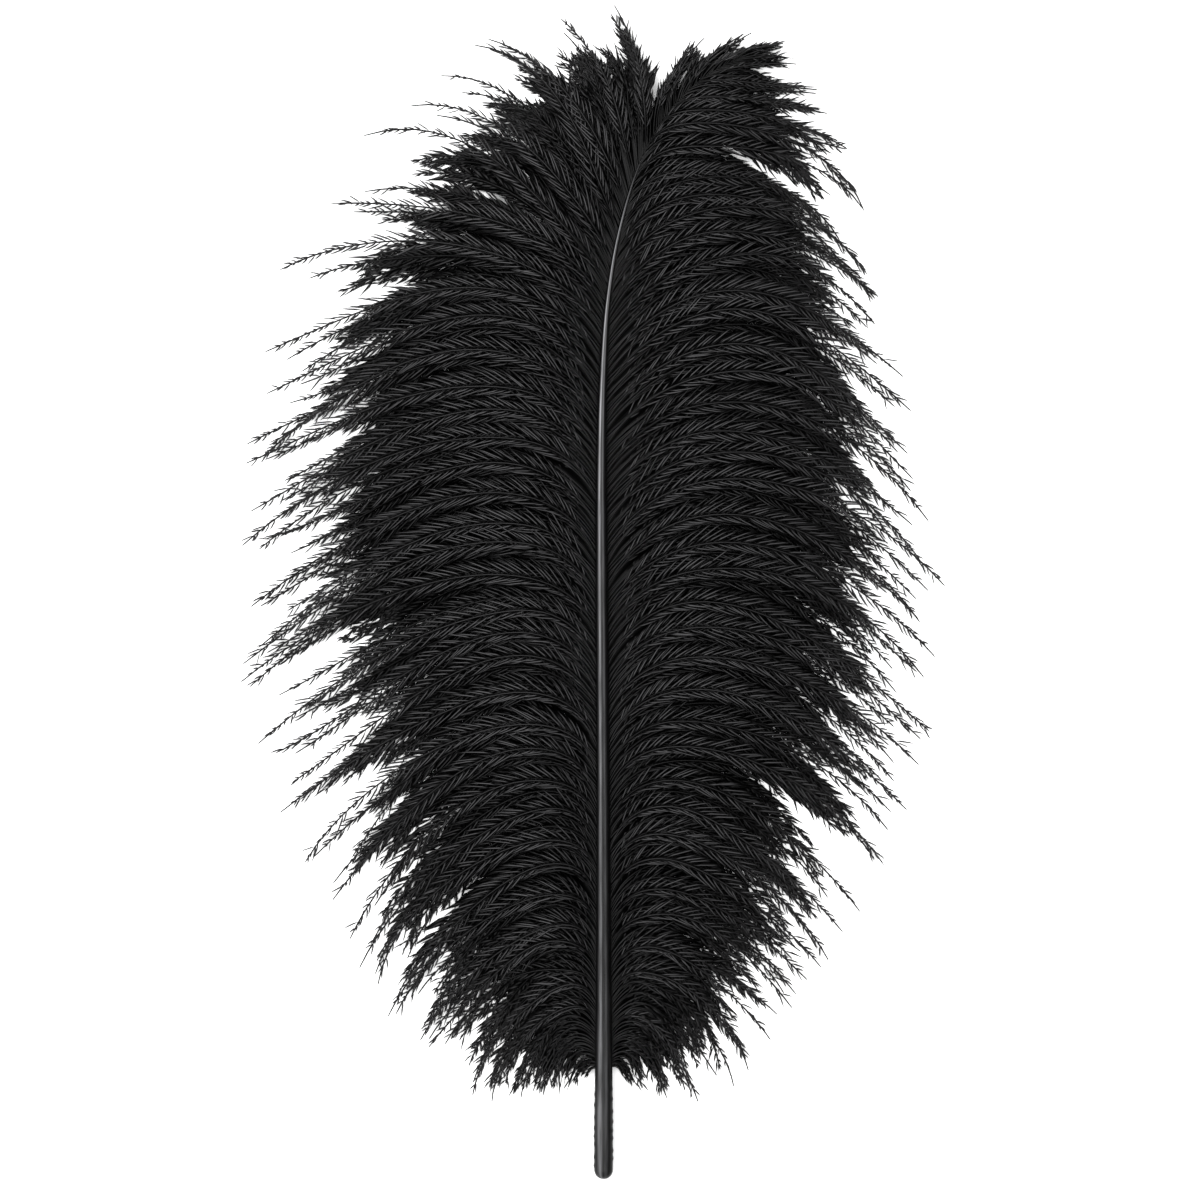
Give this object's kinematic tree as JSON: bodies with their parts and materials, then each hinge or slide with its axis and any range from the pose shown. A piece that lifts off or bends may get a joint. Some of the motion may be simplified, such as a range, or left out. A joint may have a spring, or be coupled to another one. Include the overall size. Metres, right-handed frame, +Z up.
{
  "type": "ostrich feather",
  "caption": "Black ostrich plume lying hollow side down: a slim tapered quill with a full vane of long drooping barbs on each side and a tip that curls to one side.",
  "frame": {"origin": "on the surface that the feather lies on, below the middle of its bounding box", "axes": "+Y along the feather from the foot of the quill towards its tip, +X across it towards the side that the tip curls to, +Z up from the surface"},
  "size_m": [0.2992, 0.501, 0.0228],
  "materials": {
    "keratin": "near-black keratin, semi-gloss, with a shallow groove along its upper face",
    "barbs": "soft neutral black barbs and barbules with a faint silky sheen"
  },
  "bodies": {
    "root": {"shaft": "keratin", "vane_left": "barbs", "vane_right": "barbs"}
  },
  "joints": []
}
